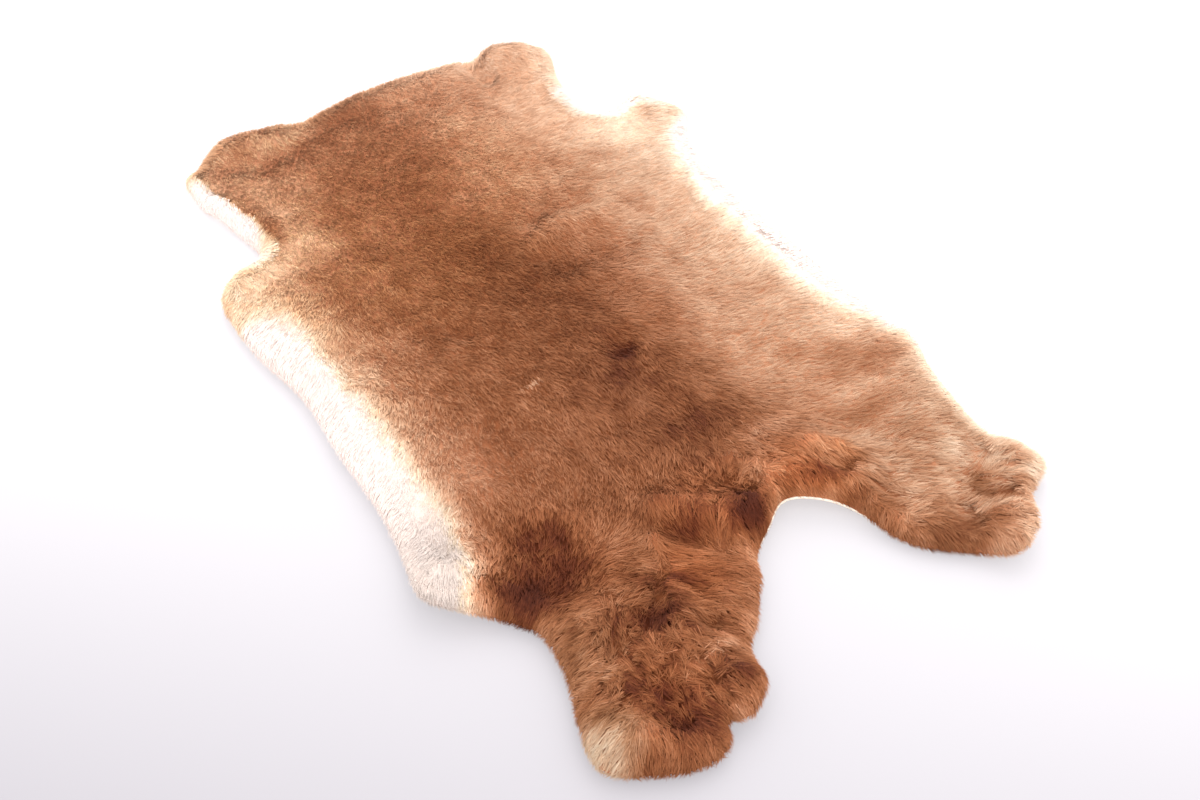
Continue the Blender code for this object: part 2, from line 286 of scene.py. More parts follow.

# Patches of the coat: tone adds darkness, or takes it away where negative. The dark patches in creases,
# hollows, dimples, dents, troughs and partings are painted shade, and the pale crests of ridges are painted
# highlight, as marked below
PATCHES = (
    # name, x, y, long_radius, short_radius, tone, turn where there is one
    ("neck band, dark", -22, 344, 26, 12, 0.1),
    # painted highlight on the crest of the neck roll
    ("neck roll, pale crest", -62, 352, 18, 10, -0.24),
    ("neck roll, dark spot", -66, 359, 4, 4, 0.14),
    ("neck roll, left part", -92, 358, 10, 10, -0.02),
    # painted shade in the crease behind the roll
    ("crease behind the roll", -95, 347, 14, 3, 0.03, -40),
    ("neck, left part", -84, 308, 24, 32, -0.17),
    ("neck, beside the left edge", -102, 305, 8, 30, 0.14),
    ("neck, right part", 36, 326, 34, 22, 0.1),
    ("left shoulder streak", -100, 266, 26, 18, -0.26),
    ("left shoulder, pale", -128, 264, 20, 16, -0.1),
    ("withers, pale patch", -4, 250, 20, 34, -0.12),
    ("right shoulder", 58, 222, 22, 32, 0.1),
    ("right shoulder, pale", 88, 252, 22, 16, -0.2),
    ("right side, dim patch", 62, 160, 12, 20, 0.12),
    ("right side, dim spot", 60, 108, 12, 10, 0.12),
    ("saddle, front", -30, 212, 20, 14, 0.1),
    ("right of the saddle", -4, 200, 14, 22, -0.1),
    # painted shade in the hollow inside the shoulder ridge
    ("inside the shoulder ridge", 10, 178, 24, 16, 0.1),
    # painted highlight on the crest of the shoulder ridge
    ("shoulder ridge, crest", 24, 204, 26, 6, -0.14, -12),
    # painted shade in the dimple in the saddle
    ("dark spot in the saddle", -15, 113, 7, 6, 0.34),
    ("saddle line", -20, 90, 30, 7, 0.08, 98),
    ("rump, dark", -16, 56, 20, 12, 0.12),
    ("right of the rump, pale", 24, 84, 16, 34, -0.16),
    ("left side, dim spot", -68, 170, 9, 6, 0.1),
    ("left thigh, dark", -117, 38, 22, 22, 0.62),
    ("left thigh, to the white band", -121, 66, 14, 20, 0.42),
    ("left thigh, inner part", -103, 66, 12, 20, 0.2),
    ("left thigh, outer part", -136, 33, 13, 15, 0.66),
    ("left thigh, back part", -124, 24, 20, 12, 0.3),
    ("left loin, to the white band", -122, 102, 8, 26, 0.2),
    ("left of the cut, dark", -34, 8, 12, 10, 0.3),
    ("edge of the cut, dark", -42, 2, 10, 7, 0.3),
    ("tuft above the crotch", -60, 16, 12, 10, 0.16),
    # painted shade in the hollow above the tuft
    ("hollow above the tuft, dark", -30, 20, 10, 7, 0.14),
    ("tail root, pale", -14, 22, 12, 8, -0.16),
    # painted highlight on the crest of the swell over the cut
    ("over the cut, pale crest", -2, 37, 14, 7, -0.24, -10),
    ("over the cut, dim", 14, 36, 8, 6, 0.04),
    ("over the cut, dark", 1, -3, 13, 9, 0.56, -60),
    ("over the cut, dark by the tuft", -14, 5, 9, 5, 0.3),
    # painted shade in the inner dent of the right leg
    ("right leg, inner dent", 12, -20, 12, 10, 0.34),
    ("right thigh, dim", 70, 42, 22, 13, 0.3),
    # painted shade in the crease of the right thigh
    ("right thigh, crease", 48, 20, 16, 7, 0.2),
    ("right thigh, back", 66, 18, 18, 10, 0.14),
    # painted shade in the two creases of the right foot, on this row and the next
    ("right foot, dark crease", 54, -36, 10, 6, 0.24, 50),
    ("right foot, crease between lobes", 56, -48, 13, 4, 0.24, -20),
    ("right foot, lower dark", 24, -54, 12, 8, 0.3, -30),
    ("right foot, lower lobe", 38, -56, 9, 6, 0.2, -30),
    ("right foot, pale top", 76, -38, 9, 12, -0.16),
    # painted shade in the parting of the left thigh
    ("parting, dark", -84, 4, 14, 4, 0.34, -40),
    ("right leg, orange spot", 15, -1, 8, 5, 0.3),
    ("right of the cut, pale fringe", 1, -7, 10, 3, -0.3, -20),
    ("right leg, inner side, dim", 4, -38, 9, 7, 0.1),
    ("right leg, above the inner dent", 32, -8, 10, 6, 0.12, -60),
    # painted shade in the lower end of the parting
    ("parting, lower dark", -95, -6, 12, 9, 0.3),
    ("right of the parting", -70, -12, 14, 13, 0.14),
    # painted highlight along the crest of the left leg ridge
    ("left leg ridge, pale", -87, -34, 8, 2.2, -0.34),
    ("left leg ridge, foot of it", -92, -16, 11, 14, 0.24),
    ("left leg lobe, dark", -92, -44, 9, 8, 0.24),
    ("left leg, outer", -126, 4, 20, 14, 0.16, 30),
    ("left leg, inner strip", -106, -22, 10, 26, 0.16),
    # painted shade in the left leg trough
    ("left leg trough, dark", -116, -42, 18, 10, 0.42, -60),
    ("left foot, pale tuft", -147, -38, 12, 7, -0.44, 90),
    ("left foot, end", -120, -56, 22, 9, 0.34),
    ("left foot, above the tuft", -136, -24, 12, 8, 0.16),
    ("left leg lobe", -82, -52, 14, 9, 0.2),
    ("left leg, upper outer side", -133, 8, 10, 9, 0.16),
    ("left of the tuft above the crotch", -61, 18, 10, 8, 0.2),
    ("rump, left", -72, 40, 15, 14, 0.16),
    ("right leg, lower side", 20, -50, 24, 13, 0.26, -40),
    ("right thigh, middle", 54, 52, 16, 14, 0.15),
    ("left foreleg", -134, 238, 13, 24, -0.14),
    ("armhole, inner side", -103, 286, 7, 16, 0.12),
    ("left side, pale strip", -90, 300, 8, 30, -0.08),
    ("left side, pale spot", -90, 178, 8, 14, -0.1),
    ("left side, beside the band", -118, 178, 10, 12, -0.08),
    ("neck bead, right", 30, 352, 8, 6, -0.12),
    ("neck, right bulge, dim", 76, 328, 9, 12, 0.12),
    ("neck, right of the middle, pale", 28, 290, 9, 8, -0.1),
    ("neck, right edge", 90, 305, 8, 8, 0.12),
    ("saddle, right, dim", -4, 98, 9, 9, 0.12),
    ("rump line, pale", -16, 68, 10, 6, -0.1),
    ("above the cut", -8, 20, 9, 6, 0.12),
    # painted shade behind the crease of the neck
    ("neck, behind the crease", -76, 334, 12, 9, 0.12),
    ("neck, left corner", -106, 335, 6, 8, -0.14),
    ("withers, left", -56, 246, 16, 14, -0.13),
    ("withers, middle", -14, 246, 20, 12, -0.13),
    ("right shoulder, dim", 46, 244, 8, 12, 0.12),
    ("right side, below the ridge", 76, 201, 8, 12, 0.13),
    ("saddle, right edge", 0, 140, 7, 12, -0.1),
    ("left flank, back end", -138, 52, 12, 10, 0.14),
    ("left thigh, top", -100, 52, 26, 9, 0.13),
    ("left thigh, middle", -119, 35, 11, 9, 0.14),
    ("left thigh, inner back", -90, 20, 10, 8, 0.16),
    ("parting, pale side", -98, 4, 11, 7, -0.16),
    ("edge of the cut, inner end", -38, 5, 12, 6, 0.18),
    ("left leg, edge above the scallops", -46, -10, 6, 6, -0.16),
    # painted shade in the upper end of the left leg trough
    ("left leg trough, upper", -120, -24, 8, 8, 0.24),
    ("left leg, outer side, pale", -136, -24, 7, 7, -0.12),
    # painted shade in the dent above the lobe
    ("left leg, dent above the lobe", -74, -38, 8, 7, 0.24),
    ("left foot, end, pale", -120, -56, 10, 6, -0.12),
    ("left leg lobe, outer end", -90, -56, 9, 6, 0.12),
    ("right leg, inner root", 10, -28, 10, 9, 0.14),
    ("right leg, inner side, pale", 30, -10, 7, 7, -0.2),
    ("right thigh, inner", 34, 18, 12, 8, 0.14),
    ("right leg, middle, dim", 50, -2, 13, 9, 0.18, -30),
    ("right foot, root", 46, -40, 9, 9, 0.16),
    ("right foot, end", 60, -55, 8, 8, 0.28),
    ("right foot, inner root", 30, -41, 8, 8, 0.16),
    ("right foot, lower end", 30, -70, 10, 7, 0.14),
    ("right thigh, outer", 72, 34, 13, 9, 0.12),
    ("right thigh, upper", 44, 65, 8, 8, 0.12),
    ("old nick on the left side", -63, 120, 7, 1.1, -0.56),
    ("left leg, upper back", -104, 6, 14, 12, 0.16),
)

# The pale belly: places on its inner edge
BELLY_LEFT = (
    # y, x of the edge
    (40, -156), (47, -149), (58, -145), (72, -140), (92, -136), (120, -134), (160, -131),
    (200, -130), (226, -132), (236, -144),
)
BELLY_RIGHT = (
    # y, x of the edge
    (30, 96), (45, 93), (70, 85), (100, 82), (140, 86), (180, 90), (205, 97), (228, 108),
    (250, 150),
)

# Places where the fur is paler from the rim to that inset: partly the pale fur that edges the pelt, and
# partly painted light for the glow of backlit hair at the far rims
RIM_PALE = (
    # name, x, y, reach, inset, tone
    ("left neck edge", -117, 316, 36, 5.4, -1.3),
    ("left armhole", -112, 284, 26, 6.5, -0.45),
    ("right armhole", 92, 284, 30, 9.0, -0.6),
    ("right foreleg, root", 108, 258, 22, 12.0, -0.5),
    ("right leg, outer side", 84, -6, 46, 5.0, -0.5),
    ("right foot, end", 82, -50, 40, 3.5, -0.3),
    ("right foot, lower side", 44, -72, 34, 1.5, -0.2),
    ("left foot, end", -120, -62, 46, 1.5, -0.16),
    ("left leg lobes", -72, -42, 40, 2.5, -0.24),
    ("neck edge", -10, 366, 90, 3.0, -0.2),
    ("right corner of the neck", 86, 346, 40, 4.0, -0.2),
    ("cut at the crotch", -20, 2, 26, 0.8, -0.3),
)

# Round places of the coat: their columns stand in the first table.
# Where the pile opens into bigger locks
SHAGGY = (
    # name, x, y, radius, share
    ("left leg", -112, -22, 62, 1.0),
    ("crotch", -30, 14, 44, 0.9),
    ("right foot", 55, -50, 46, 0.9),
    ("right leg", 20, -20, 40, 0.7),
    ("left flank corner", -148, 58, 34, 0.9),
    ("left thigh", -112, 38, 34, 0.5),
    ("neck roll", -76, 354, 34, 0.5),
    ("left belly", -142, 150, 60, 0.55),
    ("left belly, front", -142, 220, 40, 0.5),
)

# Warmer, redder places
RUSTY = (
    ("over the cut", -4, 2, 27, 0.9),
    ("right part of the cut", 16, 4, 10, 0.8),
    ("inner root of the right leg", 2, -30, 18, 0.3),
    ("tuft above the crotch", -46, 14, 30, 0.6),
    ("right of the parting", -70, 0, 22, 0.7),
    ("dark thigh", -112, 38, 30, 0.35),
    ("left leg trough", -116, -38, 26, 0.4),
)

# Yellower places
GOLDEN = (
    ("left side, front", -70, 290, 120, 1.0),
    ("withers", -20, 240, 90, 0.4),
    ("left side", -80, 180, 90, 0.4),
)

# Greyer places
GREYER = (
    ("right side, front", 90, 220, 60, 0.7),
    ("right side", 80, 140, 70, 0.8),
    ("right side, back", 50, 70, 60, 0.8),
    ("right leg", 60, -10, 70, 1.0),
    ("left foot, pale tuft", -148, -38, 20, 2.0),
    ("left leg, outer side", -138, -5, 28, 0.9),
    ("neck", -20, 352, 50, 0.5),
)

# The coat from white through cream and tan to dark brown, as the eye sees it
COAT = (
    # tone, red, green, blue
    (-0.8, 0.985, 0.925, 0.9),
    (-0.45, 0.98, 0.91, 0.875),
    (-0.2, 0.985, 0.89, 0.785),
    (0.0, 0.945, 0.79, 0.67),
    (0.2, 0.865, 0.685, 0.555),
    (0.45, 0.75, 0.525, 0.385),
    (0.7, 0.62, 0.39, 0.25),
    (0.85, 0.53, 0.31, 0.18),
    (1.0, 0.43, 0.215, 0.115),
    (1.2, 0.335, 0.145, 0.07),
)
COAT_GAIN = 0.92

# How the rusty, golden and grey places change red, green and blue, and what the painted shade on the white
# fur takes away
RUST = (1.12, 0.92, 0.72)
GOLD = (1.03, 1.0, 0.84)
GREY = (0.95, 1.07, 1.14)
WHITE_FUR_SHADE = (0.27, 0.27, 0.29)

# How the tone turns white, and the tones of the belly, the legs and the patches' reach
WHITE_GAIN = 2.5
BELLY_TONE = -0.62
LEFT_LEG_TONE = 0.66
RIGHT_LEG_TONE = 0.36
PATCH_REACH = 1.35

WHITE = (1, 1, 1, 1)
BLACK = (0, 0, 0, 1)

# The floor gives back part of its light as a glow, like a lit white sweep
FLOOR_GLOW = 0.36
FLOOR_LIGHT = 2.2
# Painted shade: the floor's colour darkens from far to near left, for the light falling off
FLOOR_NEAR = (0.32, 0.306, 0.327, 1)
FLOOR_FAR = (0.70, 0.685, 0.70, 1)

# The sky, and the lamps, which point at the middle of the pelt
SKY_LIGHT = 1.7
LAMPS = (
    # name, place, width, power, colour
    ("back lamp", (0.75, 0.55, 1.25), 1.3, 10.0, (1.0, 0.985, 0.97)),
    ("front lamp", (-0.8, -0.8, 1.1), 1.6, 11.0, (1.0, 0.99, 0.99)),
)

# The photo's viewpoint, on the pelt's own axes
CAMERA = (-291.7, -221.9, 433.0)
CAMERA_WAY = (0.6164, 0.7874)
CAMERA_PITCH = 46.4


def linear(colour):
    """Light values of a colour as the eye sees it."""
    colour = np.asarray(colour, dtype=float)
    return np.where(colour <= 0.04045, colour / 12.92, ((colour + 0.055) / 1.055) ** 2.4)


def nearness(x, y, x0, y0, x1, y1, reach):
    """One on the line from (x0, y0) to (x1, y1), falling softly to nothing at reach."""
    run_x, run_y = x1 - x0, y1 - y0
    long = max(run_x * run_x + run_y * run_y, 1e-6)
    share = np.clip(((x - x0) * run_x + (y - y0) * run_y) / long, 0, 1)
    gap = np.hypot(x - x0 - share * run_x, y - y0 - share * run_y) / reach
    return np.clip(1 - gap * gap, 0, None) ** 2


def shares(rows, x, y, power=0.5):
    """What each row's round place gives every point, falling softly to nothing at its radius."""
    places = [(row[1:3] * 2 + row[3:4], row[4]) for row in rows]
    return [share * nearness(x, y, *place) ** power for place, share in places]


def lift(x, y):
    """Height of the skin's underside above the floor."""
    return np.max(shares(LIFTS, x, y, 1), axis=0)


def rough(x, y):
    """The slow unevenness that the solid has too."""
    return np.array([smooth_noise.noise(Vector((a, b, 0.0)) / UNEVENNESS_SCALE) for a, b in zip(x, y)])


def fold(x, y, inset):
    """Height that ridges, lumps and troughs add to the pile."""
    heights = [row[6] * nearness(x, y, *row[1:6]) for row in FOLDS]
    even = rough(x, y) * UNEVENNESS
    ridge = np.clip(np.max(heights, axis=0), 0, None)
    trough = np.clip(np.min(heights, axis=0), None, 0) * np.clip(inset / TROUGH_FADE, 0, 1)
    return ridge + trough + even


def scrambled(*cells, seed=0):
    """A number from 0 to 1 for each cell, always the same for the same cell."""
    mixed = np.full(np.shape(cells[0]), seed * 2654435761 % 4294967296, dtype=np.uint64)
    for cell, prime in zip(cells, (73856093, 19349663, 83492791)):
        mixed ^= (cell.astype(np.int64) + 1048576).astype(np.uint64) * np.uint64(prime)
        mixed = (mixed ^ (mixed >> np.uint64(13))) * np.uint64(1274126177) & np.uint64(0xFFFFFFFF)
    mixed ^= mixed >> np.uint64(16)
    return (mixed & np.uint64(0xFFFFFF)) / float(0x1000000)


def mottle(x, y, size, seed):
    """Soft random patches of that size, from -1 to 1."""
    gx, gy = x / size, y / size
    cx, cy = np.floor(gx), np.floor(gy)
    fx, fy = gx - cx, gy - cy
    fx, fy = fx * fx * (3 - 2 * fx), fy * fy * (3 - 2 * fy)
    rows = [
        scrambled(cx + dx, cy + dy, seed=seed) * (fx if dx else 1 - fx) * (fy if dy else 1 - fy)
        for dx in (0, 1)
        for dy in (0, 1)
    ]
    return 2 * sum(rows) - 1


def even_ring(rows, count):
    """Points spaced evenly along a smooth closed curve through the rows, and their overhang."""
    knots = np.array([row[1:4] for row in rows], dtype=float)
    t = np.linspace(0, 1, 24, endpoint=False)[:, None]
    dense = []
    for index in range(len(knots)):
        before, start, end, after = (knots[(index + step) % len(knots)] for step in (-1, 0, 1, 2))
        bent = 0.5 * (
            2 * start
            + (end - before) * t
            + (2 * before - 5 * start + 4 * end - after) * t ** 2
            + (3 * start - 3 * end + after - before) * t ** 3
        )
        bent[:, 2] = (start + (end - start) * t)[:, 2]
        dense.append(bent)
    dense = np.concatenate(dense + [dense[0][:1]])
    lengths = np.concatenate([[0], np.cumsum(np.hypot(*np.diff(dense[:, :2], axis=0).T))])
    wanted = np.linspace(0, lengths[-1], count, endpoint=False)
    return np.stack([np.interp(wanted, lengths, dense[:, axis]) for axis in range(3)], axis=1)


class Rim:
    """Answers how far places lie inside the smooth outline."""

    def __init__(self, ring):
        self.ring = ring
        along = np.roll(ring[:, :2], -1, axis=0) - np.roll(ring[:, :2], 1, axis=0)
        along /= np.hypot(*along.T)[:, None]
        self.out = np.stack([-along[:, 1], along[:, 0]], axis=1)
        self.tree = kdtree.KDTree(len(ring))
        for index, (x, y) in enumerate(ring[:, :2]):
            self.tree.insert((x, y, 0.0), index)
        self.tree.balance()

    def look(self, x, y):
        """Distance inside the outline, the overhang and the way out, for each place."""
        found = [self.tree.find((a, b, 0.0)) for a, b in zip(x, y)]
        index = np.array([row[1] for row in found])
        gap = np.array([row[2] for row in found])
        away = np.stack([x, y], axis=1) - self.ring[index, :2]
        side = -np.sum(away * self.out[index], axis=1)
        inset = np.where(gap < RIM_REACH, side, np.copysign(gap, side))
        return inset, self.ring[index, 2], self.out[index]


def rim_height(over):
    """Height of the outermost point of the pile above the skin's underside."""
    return SKIN + 0.75 * over


def top_height(x, y, inset, over):
    """Height of the pile's surface."""
    share = np.clip(inset / ROUNDING, 0, 1)
    edge = rim_height(over)
    ripple = PILE_RIPPLE * (mottle(x, y, PILE_RIPPLE_SCALE, 5) + 0.5 * mottle(x, y, FINE_RIPPLE_SCALE, 6))
    full = PILE + (fold(x, y, inset) + ripple) * np.clip(inset / FOLD_FADE, 0, 1)
    return lift(x, y) + edge + (full - edge) * np.sqrt(1 - (1 - share) ** 2)


def lattice(rim, spacing, least_inset):
    """Places of a staggered lattice that lie at least so far inside the outline."""
    low, high = rim.ring[:, :2].min(axis=0), rim.ring[:, :2].max(axis=0)
    row_step = spacing * math.sqrt(0.75)
    rows, columns = np.meshgrid(
        np.arange(int((high[1] - low[1]) / row_step) + 1),
        np.arange(int((high[0] - low[0]) / spacing) + 1),
    )
    x = (low[0] + (columns + 0.5 * (rows % 2)) * spacing).ravel()
    y = (low[1] + rows * row_step).ravel()
    keep = rim.look(x, y)[0] > least_inset
    return np.stack([x[keep], y[keep]], axis=1)


def triangles_over(places, border_count):
    """Triangles over the places, inside the border that the first of them make."""
    border = list(range(border_count))
    faces, origins = delaunay_2d_cdt([Vector(p) for p in places], [], [border], 1, 1e-4)[2:4]
    first = [group[0] for group in origins]
    return np.array([[first[corner] for corner in face] for face in faces])


def unit(vectors):
    """The same directions with length one."""
    return vectors / np.maximum(np.linalg.norm(vectors, axis=-1, keepdims=True), 1e-9)


def facing(points, triangles):
    """The way that each triangle faces, with twice its area as length."""
    a, b, c = (points[triangles[:, corner]] for corner in range(3))
    return np.cross(b - a, c - a)


def turn_up(points, triangles):
    """Turns over the triangles that face down."""
    down = facing(points, triangles)[:, 2] < 0
    triangles[down] = triangles[down][:, ::-1]


def corner_normals(points, triangles):
    """Smooth outward directions at the points."""
    face = facing(points, triangles)
    normals = np.zeros_like(points)
    for corner in range(3):
        np.add.at(normals, triangles[:, corner], face)
    return unit(normals)


class Surface:
    """The outer surface of the pile, from the skin's edge over the rim and the top."""

    def __init__(self):
        self.rim = Rim(even_ring(OUTLINE, RIM_POINTS))
        ring, out = self.rim.ring, self.rim.out
        places = [ring[:, :2]]
        for inset in RIM_INSETS:
            row = ring[:, :2] - out * inset
            fits = self.rim.look(*row.T)[0] > 0.86 * inset
            step = 1 if inset < 3 else 2
            places.append(row[::step][fits[::step]])
        places.append(lattice(self.rim, SURFACE_LATTICE, RIM_INSETS[-1] + 1.6))
        places = np.concatenate(places)
        top = triangles_over(places, len(ring))
        inset, over, ways = self.rim.look(*places.T)
        inset[: len(ring)] = 0
        near = inset < OUTWARD_REACH
        gap = np.hypot(*(places[near][:, None, :] - ring[None, :, :2]).T).T
        gap -= gap.min(axis=1, keepdims=True)
        ways[near] = unit(np.exp(-((gap / OUTWARD_BLUR) ** 2)) @ out)
        height = top_height(places[:, 0], places[:, 1], inset, over)
        points = [np.column_stack([places, height])]
        count = len(ring)
        numbers = np.arange(count)
        after = (numbers + 1) % count
        sides = []
        upper = numbers
        start = len(places)
        for share, rise in ((0.3, 0.35), (1.0, 0.06)):
            row = ring[:, :2] - out * (ring[:, 2:] * share)
            level = lift(*row.T) + rim_height(ring[:, 2]) * rise
            points.append(np.column_stack([row, level]))
            lower = start + numbers
            sides.append(np.column_stack([upper, lower, lower[after]]))
            sides.append(np.column_stack([upper, lower[after], upper[after]]))
            upper = lower
            start += count
        self.points = np.concatenate(points)
        self.triangles = np.concatenate([top] + sides)
        self.ring_count = count
        self.fix_winding(len(top))
        self.normals = corner_normals(self.points, self.triangles)
        self.inset = np.concatenate([inset, np.zeros(2 * count)])
        self.out = np.concatenate([ways, out, out])
        self.over = np.concatenate([over, ring[:, 2], ring[:, 2]])

    def fix_winding(self, top_count):
        """Turns the triangles so that they face out of the pelt."""
        turn_up(self.points, self.triangles[:top_count])
        sides = self.triangles[top_count:]
        first = sides[:, 0]
        lower = (first - len(self.points)) % self.ring_count
        place = np.where(first < self.ring_count, first, lower)
        inward = np.sum(facing(self.points, sides)[:, :2] * self.rim.out[place], axis=1) < 0
        sides[inward] = sides[inward][:, ::-1]

    def scatter(self, count, chance):
        """That many places spread evenly over the surface, with what the pile there needs."""
        area = np.linalg.norm(facing(self.points, self.triangles), axis=1)
        total = np.cumsum(area)
        picks = (np.arange(count) + chance.random(count)) / count * total[-1]
        face = np.minimum(np.searchsorted(total, picks), len(area) - 1)
        r, s = chance.random((2, count))
        turned = r + s > 1
        r[turned], s[turned] = 1 - r[turned], 1 - s[turned]
        weights = np.column_stack([1 - r - s, r, s])[:, :, None]
        corners = self.triangles[face]

        def mixed(values):
            return np.sum(values[corners] * weights, axis=1)

        return (
            mixed(self.points),
            unit(mixed(self.normals)),
            mixed(self.inset[:, None])[:, 0],
            unit(mixed(self.out)),
            mixed(self.over[:, None])[:, 0],
        )


def tone_at(x, y, inset):
    """How dark the coat is: 0 is pale tan, 1 dark brown, and below 0 cream to white."""
    across, across_tone = np.array(ACROSS).T
    along, share = np.array(ALONG).T
    tone = np.interp(x, across, across_tone) * np.interp(y, along, share)
    leg = np.clip((30 - y) / 40, 0, 1)
    tone = tone * (1 - leg) + leg * np.where(x < -30, LEFT_LEG_TONE, RIGHT_LEG_TONE)
    for name, px, py, long, short, change, *turn in PATCHES:
        angle = math.radians(sum(turn))
        a = ((x - px) * math.cos(angle) + (y - py) * math.sin(angle)) / (PATCH_REACH * long)
        b = (-(x - px) * math.sin(angle) + (y - py) * math.cos(angle)) / (PATCH_REACH * short)
        tone += change * np.clip(1 - a * a - b * b, 0, 1) ** 1.5
    tone += 0.07 * mottle(x, y, 14.0, 21) + 0.07 * mottle(x, y, 6.0, 22) + 0.05 * mottle(x, y, 2.6, 23)
    ragged = 2.2 * mottle(x, y, 7.0, 24) + 1.6 * mottle(x, y, 2.4, 25)
    for rows, way in ((BELLY_LEFT, 1), (BELLY_RIGHT, -1)):
        ys, xs = np.array(rows).T
        inside = way * (np.interp(y, ys, xs) - x) + ragged
        fade = np.clip((y - ys[0] + 8) / 14, 0, 1) * np.clip((ys[-1] + 4 - y) / 14, 0, 1)
        share = np.clip((inside + 13) / 20, 0, 1)
        share = share * share * (3 - 2 * share) * fade
        tone = tone * (1 - share) + share * BELLY_TONE
    # Paler rims: partly real pale edge fur, partly painted light for backlit hair at the far edges
    for name, px, py, reach, deep, change in RIM_PALE:
        near = nearness(x, y, px, py, px, py, reach) ** 0.5
        edge = np.clip((deep - inset - ragged * 0.5) / 4 + 0.5, 0, 1)
        tone += change * near * edge
    return tone


def coat_colour(tone):
    """Light values of the coat at that tone."""
    rows = np.array(COAT)
    seen = np.stack([np.interp(tone, rows[:, 0], rows[:, axis]) for axis in (1, 2, 3)], axis=1)
    return linear(seen) * COAT_GAIN


def whiteness(tone):
    """How white the fur is: nothing where it is cream or darker, one where it is white."""
    return np.clip(-WHITE_GAIN * tone, 0, 1)


def with_painted_shade(colour, x, y, pale):
    """The colours with painted shade darkening the white fur towards the left flank's corner."""
    # Painted shade: the white fur grows darker towards the near left corner, where it faces away from the
    # light
    shade_share = pale * np.clip((120 - y) / 60, 0, 1) * (x < 0)
    return colour * (1 - np.array(WHITE_FUR_SHADE) * shade_share[:, None])


def spread(rows, x, y):
    """The largest share that the named round places give each point."""
    return np.max(shares(rows, x, y), axis=0)


def lay_at(x, y):
    """The way the pile lies at each place, and its rise in radians."""
    weight = 0
    way = np.zeros((len(x), 2))
    rise = 0
    for name, px, py, towards, up in LAY:
        near = 1 / (((x - px) ** 2 + (y - py) ** 2) / 400 + 0.15) ** 1.6
        weight = weight + near
        angle = math.radians(towards)
        way += near[:, None] * np.array((math.cos(angle), math.sin(angle)))
        rise = rise + near * up
    return unit(way), np.radians(rise / weight)


def clumps(x, y, way, size, seed):
    """For each place the nearest clump's middle, drawn out along the lay, and the clump's own number."""
    cx, cy = np.floor(x / size), np.floor(y / size)
    best = np.full(len(x), 1e9)
    middle = np.zeros((len(x), 2))
    number = np.zeros(len(x))
    for dx in (-2, -1, 0, 1, 2):
        for dy in (-2, -1, 0, 1, 2):
            kx = (cx + dx + scrambled(cx + dx, cy + dy, seed=seed)) * size
            ky = (cy + dy + scrambled(cx + dx, cy + dy, seed=seed + 1)) * size
            along = (kx - x) * way[:, 0] + (ky - y) * way[:, 1]
            across = (ky - y) * way[:, 0] - (kx - x) * way[:, 1]
            gap = (0.42 * along) ** 2 + across ** 2
            nearer = gap < best
            best[nearer] = gap[nearer]
            middle[nearer] = np.column_stack([kx, ky])[nearer]
            number[nearer] = scrambled(cx + dx, cy + dy, seed=seed + 2)[nearer]
    return middle, number, np.sqrt(best) / size


def to_row(points):
    """Positions on the pelt's own axes, in millimetres, as positions in the part's frame."""
    shift = np.array((MIDDLE[0], MIDDLE[1], 0.0))
    return (points - shift) * MM


def show(name, data):
    """A new object in the scene with that data."""
    thing = bpy.data.objects.new(name, data)
    bpy.context.scene.collection.objects.link(thing)
    return thing


def new_mesh(name, points, faces):
    """A mesh object from arrays; each row of faces is one triangle."""
    mesh = bpy.data.meshes.new(name)
    mesh.vertices.add(len(points))
    mesh.vertices.foreach_set("co", points.astype(np.float32).ravel())
    mesh.loops.add(faces.size)
    mesh.loops.foreach_set("vertex_index", faces.astype(np.int32).ravel())
    mesh.polygons.add(len(faces))
    mesh.polygons.foreach_set("loop_start", np.arange(0, faces.size, 3, dtype=np.int32))
    mesh.update(calc_edges=True)
    mesh.validate()
    return show(name, mesh)


def paint(mesh, name, colours):
    """Stores a colour at every point of the mesh."""
    layer = mesh.attributes.new(name, "FLOAT_COLOR", "POINT")
    full = np.column_stack([colours, np.ones(len(colours))]).astype(np.float32)
    layer.data.foreach_set("color", full.ravel())


def number_points(mesh, name, values):
    """Stores a number at every point of the mesh."""
    layer = mesh.attributes.new(name, "FLOAT", "POINT")
    layer.data.foreach_set("value", values.astype(np.float32))


def lay_out_cells(mesh, count):
    """Gives every tuft a small cell of its own in the map that its colour is baked to."""
    columns = math.ceil(math.sqrt(count))
    cell = np.arange(count)
    low_left = np.stack([(cell % columns) / columns, (cell // columns) / columns], axis=1)
    spots = np.array(((0.1, 0.1), (0.9, 0.1), (0.5, 0.92))) / columns
    places = np.broadcast_to(low_left[:, None, None, :] + spots, (count, 3, 3, 2))
    layer = mesh.uv_layers.new(name="OFBake")
    layer.data.foreach_set("uv", places.astype(np.float32).ravel())


